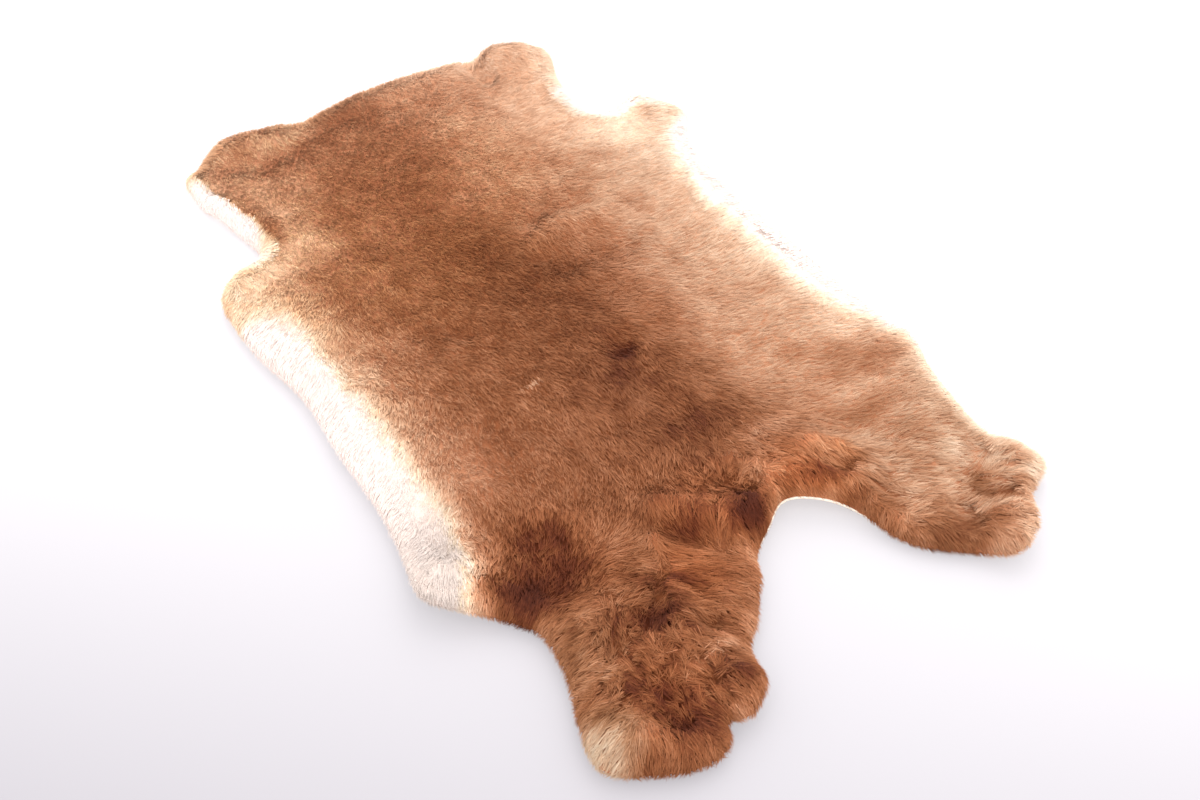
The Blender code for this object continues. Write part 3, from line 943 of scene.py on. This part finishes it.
def fur_piece(name, surface, count, seed, radius):
    """One share of the pile: short tapered tufts, joined as one mesh."""
    chance = np.random.default_rng(seed)
    tip, normal, inset, out, over = surface.scatter(count, chance)
    x, y = tip[:, 0], tip[:, 1]
    way, rise = lay_at(x, y)
    pale = whiteness(tone_at(x, y, inset))
    shag = np.clip(0.15 + 0.85 * spread(SHAGGY, x, y), 0, 1) * (1 - 0.75 * pale)
    edge = np.clip(1 - inset / ROUNDING, 0, 1)
    against = np.clip(-np.sum(way * out, axis=1), 0, 1)
    outward = np.clip(edge * (0.4 + 1.4 * against), 0, 1)[:, None]
    heading = unit(way * (1 - outward) + out * outward)
    wander = chance.normal(0, 1, (count, 2)) * (0.1 + 0.1 * shag)[:, None]
    waves = np.column_stack([mottle(x, y, 12.0, 31), mottle(x, y, 12.0, 32)]) * (0.1 + 0.35 * shag)[:, None]
    waves += np.column_stack([mottle(x, y, 4.0, 34), mottle(x, y, 4.0, 35)]) * (0.14 + 0.2 * shag)[:, None]
    lock, lock_number, lock_far = clumps(x, y, way, LOCK_SIZE, 51)
    lock_turn = 2 * math.pi * lock_number
    sway = np.column_stack([np.cos(lock_turn), np.sin(lock_turn)]) * (0.5 * shag ** 2)[:, None]
    heading = unit(heading + wander + waves + sway)
    tangent = np.column_stack([heading, -0.5 * edge - 0.05])
    tangent = unit(tangent - normal * np.sum(tangent * normal, axis=1, keepdims=True))
    rise = RISE_GAIN * rise + chance.normal(0, 0.09, count) + 0.2 * mottle(x, y, 5.0, 33) * shag
    rise = np.clip(rise * (1 - 0.4 * pale), 0.2, 1.2)
    direction = unit(tangent * np.cos(rise)[:, None] + normal * np.sin(rise)[:, None])

    middle, number, far = clumps(x, y, way, CLUMP_SIZE, 41)
    pull = (0.34 + 0.2 * shag)[:, None] * (1 - 0.6 * pale)[:, None]
    lock_pull = (0.05 + 0.36 * shag ** 2)[:, None] * (1 - edge)[:, None]
    shift = np.zeros((count, 3))
    shift[:, :2] = (middle - tip[:, :2]) * pull * (1 - 0.6 * edge)[:, None]
    shift[:, :2] += (lock - tip[:, :2]) * lock_pull
    shift -= normal * np.sum(shift * normal, axis=1, keepdims=True)
    size = TUFT_LENGTH * chance.uniform(0.75, 1.12, count) * (1 - 0.4 * edge)
    root = tip - direction * size[:, None] - normal * 0.3
    root_inset = inset + np.sum(direction[:, :2] * out, axis=1) * size
    root[:, :2] -= out * np.clip(ROOT_INSET - root_inset, 0, None)[:, None]
    tip = tip + shift
    sink = (0.4 * far + (0.3 + 0.9 * shag) * lock_far ** 1.5) * (1 - 0.6 * edge) * (1 - 0.8 * pale)
    fringe = 1.3 * edge * chance.random(count) * np.clip(over / 3, 0, 1)
    tip += normal * (chance.normal(0, 0.3, count) + 0.35 * (number - 0.5) - sink + fringe)[:, None]
    loose = chance.random(count) < LOOSE_SHARE
    tip[loose] += direction[loose] * chance.uniform(0.4, 1.6, loose.sum())[:, None]
    tip[:, 2] = np.maximum(tip[:, 2], LOWEST_TIP)
    root[:, 2] = np.maximum(root[:, 2], LOWEST_ROOT)

    line = unit(tip - root)
    crest = np.clip(1 - inset / 9, 0, 1)[:, None]
    lean = unit(normal * (1 - 0.8 * crest) + np.array((0.0, 0.0, 1.0)) * (UP_SHARE + crest))
    side = unit(np.cross(line, lean + 1e-4))
    up = np.cross(side, line)
    turn = chance.normal(0, 0.3, count)[:, None]
    side, up = side * np.cos(turn) + up * np.sin(turn), up * np.cos(turn) - side * np.sin(turn)
    width = radius * chance.uniform(0.7, 1.3, count) * (1 + 0.25 * pale)
    points = np.empty((count, 4, 3))
    normals = np.empty((count, 4, 3))
    ridge = TUFT_RIDGE / TUFT_HALF_WIDTH
    for corner, (across, above) in enumerate(((1.0, 0.0), (0.0, ridge), (-1.0, 0.0))):
        round_way = side * across + up * above
        points[:, corner] = root + round_way * width[:, None]
        normals[:, corner] = unit(lean + round_way * ROUND_SHARE)
    points[:, 3] = tip
    normals[:, 3] = unit(lean + up * ROUND_SHARE)

    first = np.arange(count)[:, None] * 4
    faces = np.stack([first + np.array(((a + 1) % 3, a, 3)) for a in range(3)], axis=1).reshape(-1, 3)
    thing = new_mesh(name, to_row(points.reshape(-1, 3)), faces)
    mesh = thing.data

    tone = tone_at(root[:, 0] * 0.5 + x * 0.5, root[:, 1] * 0.5 + y * 0.5, inset)
    # The last term darkens tufts far from their lock's middle: painted shade in the gaps between locks; the
    # other terms are random tone
    tone += (
        0.06 * (number - 0.5)
        + (0.06 + 0.06 * shag) * (lock_number - 0.5)
        + 0.5 * (lock_far - 0.4) * shag ** 2
    )
    tone += 0.1 * mottle(x, y, 3.4, 61) * shag + chance.normal(0, 0.06, count)
    colour = coat_colour(tone)
    tints = (
        (RUST, spread(RUSTY, x, y)),
        (GOLD, np.sum(shares(GOLDEN, x, y), axis=0) * (1 - pale)),
        (GREY, spread(GREYER, x, y) * np.clip(1 + 6 * tone, 0, 1)),
    )
    for tint, share in tints:
        colour = colour * (1 + (np.array(tint) - 1) * share[:, None])
    paint(mesh, "coat", np.repeat(with_painted_shade(colour, x, y, pale), 4, axis=0))
    number_points(mesh, "along", np.tile((0.0, 0.0, 0.0, 1.0), count))
    number_points(mesh, "tuft", np.repeat(chance.random(count), 4))
    lay_out_cells(mesh, count)
    mesh.normals_split_custom_set_from_vertices(normals.reshape(-1, 3).tolist())
    return thing


def underfur_piece(surface):
    """The dark woolly floor of the pile that shows between the tufts."""
    points = surface.points.copy()
    x, y = points[:, 0], points[:, 1]
    tone = tone_at(x, y, surface.inset)
    pale = whiteness(tone)
    deep = UNDERFUR_DEPTH * np.clip(0.45 + surface.inset / 9, 0, 1)
    deep *= 1 + 0.35 * spread(SHAGGY, x, y) - 0.75 * pale
    deep = np.minimum(deep, 0.3 + 0.42 * (points[:, 2] - lift(x, y)))
    points -= surface.normals * deep[:, None]
    points[:, 2] = np.maximum(points[:, 2], lift(x, y) + 0.35)
    thing = new_mesh("underfur", to_row(points), surface.triangles)
    paint(thing.data, "coat", with_painted_shade(coat_colour(tone), x, y, pale))
    thing.data.shade_smooth()
    return thing


def hide_piece(surface):
    """The tanned skin, a thin sheet with its cut edge, and its flat size and area."""
    ring, out = surface.rim.ring, surface.rim.out
    border = ring[:, :2] - out * np.maximum(ring[:, 2:] * 0.98, 0.25)
    keep = surface.rim.look(*border.T)[0] > np.maximum(ring[:, 2] * 0.8, 0.1)
    border = border[keep][::2]
    places = np.concatenate([border, lattice(surface.rim, HIDE_LATTICE, 9.5)])
    faces = triangles_over(places, len(border))
    height = lift(*places.T)
    upper = np.column_stack([places, height + SKIN])
    lower = np.column_stack([places, height + 0.05])
    turn_up(upper, faces)
    count = len(places)
    numbers = np.arange(len(border))
    after = (numbers + 1) % len(border)
    sheet = np.concatenate([
        faces,
        faces[:, ::-1] + count,
        np.column_stack([numbers, after, after + count]),
        np.column_stack([numbers, after + count, numbers + count]),
    ])
    thing = new_mesh("hide", to_row(np.concatenate([upper, lower])), sheet)
    mesh = bmesh.new()
    mesh.from_mesh(thing.data)
    bmesh.ops.recalc_face_normals(mesh, faces=mesh.faces)
    mesh.to_mesh(thing.data)
    mesh.free()
    box = border.max(axis=0) - border.min(axis=0)
    x, y = border.T
    area = 0.5 * abs(np.dot(x, np.roll(y, 1)) - np.dot(y, np.roll(x, 1)))
    return thing, box * MM, area * MM * MM


class Shader:
    """Short names for building a material's nodes."""

    def __init__(self, name):
        self.material = bpy.data.materials.new(name)
        self.material.use_nodes = True
        self.nodes = self.material.node_tree.nodes
        self.links = self.material.node_tree.links

    def give(self, socket, value):
        """Sets a socket to a plain value, or joins it to another node's output."""
        if isinstance(value, bpy.types.NodeSocket):
            self.links.new(value, socket)
        else:
            socket.default_value = value

    def add(self, kind, inputs=None, **settings):
        """A new node with these settings and these values for its inputs."""
        node = self.nodes.new(kind)
        for name, value in settings.items():
            setattr(node, name, value)
        for name, value in (inputs or {}).items():
            self.give(node.inputs[name], value)
        return node

    def maths(self, operation, *values):
        """The outcome of a sum with these values."""
        node = self.add("ShaderNodeMath", operation=operation)
        for socket, value in zip(node.inputs, values):
            self.give(socket, value)
        return node.outputs[0]

    def mix(self, factor, a, b, blend="MIX"):
        """Colour a, with that much of colour b in it."""
        inputs = {0: factor, 6: a, 7: b}
        return self.add("ShaderNodeMix", inputs, data_type="RGBA", blend_type=blend).outputs[2]

    def stored(self, name, output="Fac"):
        """What the mesh stores under that name."""
        return self.add("ShaderNodeAttribute", attribute_name=name).outputs[output]

    def place(self):
        """Where each point lies on the object's own axes."""
        return self.add("ShaderNodeTexCoord").outputs["Object"]

    def noise(self, scale, detail):
        """Soft noise from 0 to 1."""
        inputs = {"Vector": self.place(), "Scale": scale, "Detail": detail}
        return self.add("ShaderNodeTexNoise", inputs).outputs["Fac"]

    def bump(self, height, strength, distance):
        """The way that a surface with these small heights faces."""
        inputs = {"Strength": strength, "Distance": distance, "Height": height}
        return self.add("ShaderNodeBump", inputs).outputs["Normal"]

    def done(self, colour, roughness, shine, inputs=None):
        """The material, with that surface."""
        surface = self.nodes["Principled BSDF"]
        plain = {"Base Color": colour, "Roughness": roughness, "Specular IOR Level": shine}
        for name, value in (plain | (inputs or {})).items():
            self.give(surface.inputs[name], value)
        return self.material


def fur_material():
    """Tapered hairs, darker towards the root, and each tuft lighter or darker than the next."""
    s = Shader("rex fur")
    coat = s.stored("coat", "Color")
    root = s.mix(1.0, coat, s.mix(0.45, coat, WHITE), "MULTIPLY")
    colour = s.mix(s.maths("POWER", s.stored("along"), 0.6), root, coat)
    bright = s.maths("MULTIPLY_ADD", s.stored("tuft"), 0.2, 0.81)
    bright = s.maths("MULTIPLY_ADD", s.noise(420.0, 3.0), 0.18, bright)
    shade = s.add("ShaderNodeCombineColor", {0: bright, 1: bright, 2: bright}).outputs[0]
    sheen = {"Sheen Weight": 0.08, "Sheen Roughness": 0.5, "Sheen Tint": (1.0, 0.86, 0.74, 1)}
    return s.done(s.mix(1.0, colour, shade, "MULTIPLY"), 0.72, 0.12, sheen)


def underfur_material():
    """Dense dull wool, darker than the tips."""
    s = Shader("underfur")
    coat = s.stored("coat", "Color")
    grain = s.noise(900.0, 3.0)
    dark = s.mix(1.0, coat, s.mix(0.35, coat, WHITE), "MULTIPLY")
    colour = s.mix(grain, dark, s.mix(0.5, dark, coat))
    return s.done(colour, 0.95, 0.1, {"Normal": s.bump(grain, 0.6, 0.0006)})


def hide_material():
    """Cream tanned skin with a suede nap and faint veins of tone."""
    s = Shader("tanned skin")
    cloud = s.noise(26.0, 6.0)
    nap = s.noise(1400.0, 2.0)
    colour = s.mix(cloud, (0.80, 0.70, 0.56, 1), (0.90, 0.84, 0.74, 1))
    colour = s.mix(s.maths("MULTIPLY", nap, 0.25), colour, (0.72, 0.60, 0.47, 1))
    height = s.maths("ADD", nap, cloud)
    return s.done(colour, 0.9, 0.15, {"Normal": s.bump(height, 0.4, 0.0004)})


def floor_material():
    """A white sheet, cooler and a little darker towards the near left as painted shade for the light
    falling off, and partly glowing as painted light.
    """
    s = Shader("floor")
    parts = s.add("ShaderNodeSeparateXYZ", {0: s.place()}).outputs
    depth = s.maths("MULTIPLY_ADD", parts["Y"], 0.66, s.maths("MULTIPLY", parts["X"], 0.75))
    span = {"Value": depth, "From Min": -0.31, "From Max": 0.12}
    colour = s.mix(s.add("ShaderNodeMapRange", span).outputs["Result"], FLOOR_NEAR, FLOOR_FAR)
    glow = {"Emission Color": colour, "Emission Strength": FLOOR_LIGHT * FLOOR_GLOW}
    return s.done(s.mix(FLOOR_GLOW, colour, BLACK), 0.9, 0.1, glow)


def add_lamp(name, place, width, power, colour):
    """A soft square lamp that points at the middle of the pelt."""
    lamp = bpy.data.lights.new(name, "AREA")
    lamp.shape = "SQUARE"
    lamp.size = width
    lamp.energy = power
    lamp.color = colour
    thing = show(name, lamp)
    thing.location = place
    thing.rotation_euler = (-Vector(place)).to_track_quat("-Z", "Y").to_euler()


def add_camera():
    """The photo's viewpoint: behind the left hind leg, looking down over the back."""
    camera = bpy.data.cameras.new("camera")
    camera.lens = 40
    camera.sensor_width = 36
    camera.clip_start = 0.01
    thing = show("camera", camera)
    pitch = math.radians(CAMERA_PITCH)
    level = math.cos(pitch)
    ahead = Vector((CAMERA_WAY[0] * level, CAMERA_WAY[1] * level, -math.sin(pitch)))
    thing.location = to_row(np.array(CAMERA))
    thing.rotation_euler = ahead.to_track_quat("-Z", "Y").to_euler()
    bpy.context.scene.camera = thing


def add_stage():
    """Floor, lamps and sky."""
    bpy.ops.mesh.primitive_plane_add(size=6.0, location=(0, 0, -0.0002))
    floor = bpy.context.object
    floor.name = "floor"
    floor.data.materials.append(floor_material())
    for row in LAMPS:
        add_lamp(*row)
    world = bpy.context.scene.world or bpy.data.worlds.new("world")
    bpy.context.scene.world = world
    world.use_nodes = True
    sky = world.node_tree.nodes["Background"]
    sky.inputs["Color"].default_value = (1.0, 0.99, 1.0, 1)
    sky.inputs["Strength"].default_value = SKY_LIGHT
    bpy.context.scene.view_settings.view_transform = "Standard"


def add_bloom():
    """The glow of the burnt-out white ground over the edges of the pelt."""
    scene = bpy.context.scene
    scene.use_nodes = True
    tree = scene.node_tree
    tree.nodes.clear()
    layers = tree.nodes.new("CompositorNodeRLayers")
    glow = tree.nodes.new("CompositorNodeGlare")
    glow.glare_type = "BLOOM"
    for name, value in (("Threshold", 0.95), ("Strength", 0.08), ("Size", 0.55)):
        glow.inputs[name].default_value = value
    result = tree.nodes.new("CompositorNodeComposite")
    tree.links.new(layers.outputs["Image"], glow.inputs["Image"])
    tree.links.new(glow.outputs["Image"], result.inputs["Image"])


surface = Surface()
count = TUFTS_PER_PIECE // 1
radius = TUFT_HALF_WIDTH * 1
fur = [
    fur_piece("fur_%d" % (number + 1), surface, count, SEED + number, radius)
    for number in range(FUR_PIECES)
]
pile = fur_material()
for number, piece in enumerate(fur):
    piece.data.materials.append(pile)
    piece.visible_shadow = number in SHADOW_PIECES
underfur = underfur_piece(surface)
underfur.data.materials.append(underfur_material())
hide, flat, area = hide_piece(surface)
hide.data.materials.append(hide_material())

for piece in fur + [underfur, hide]:
    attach(piece, "root")
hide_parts("pelt")
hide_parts("pelt")

add_stage()
add_bloom()
add_camera()
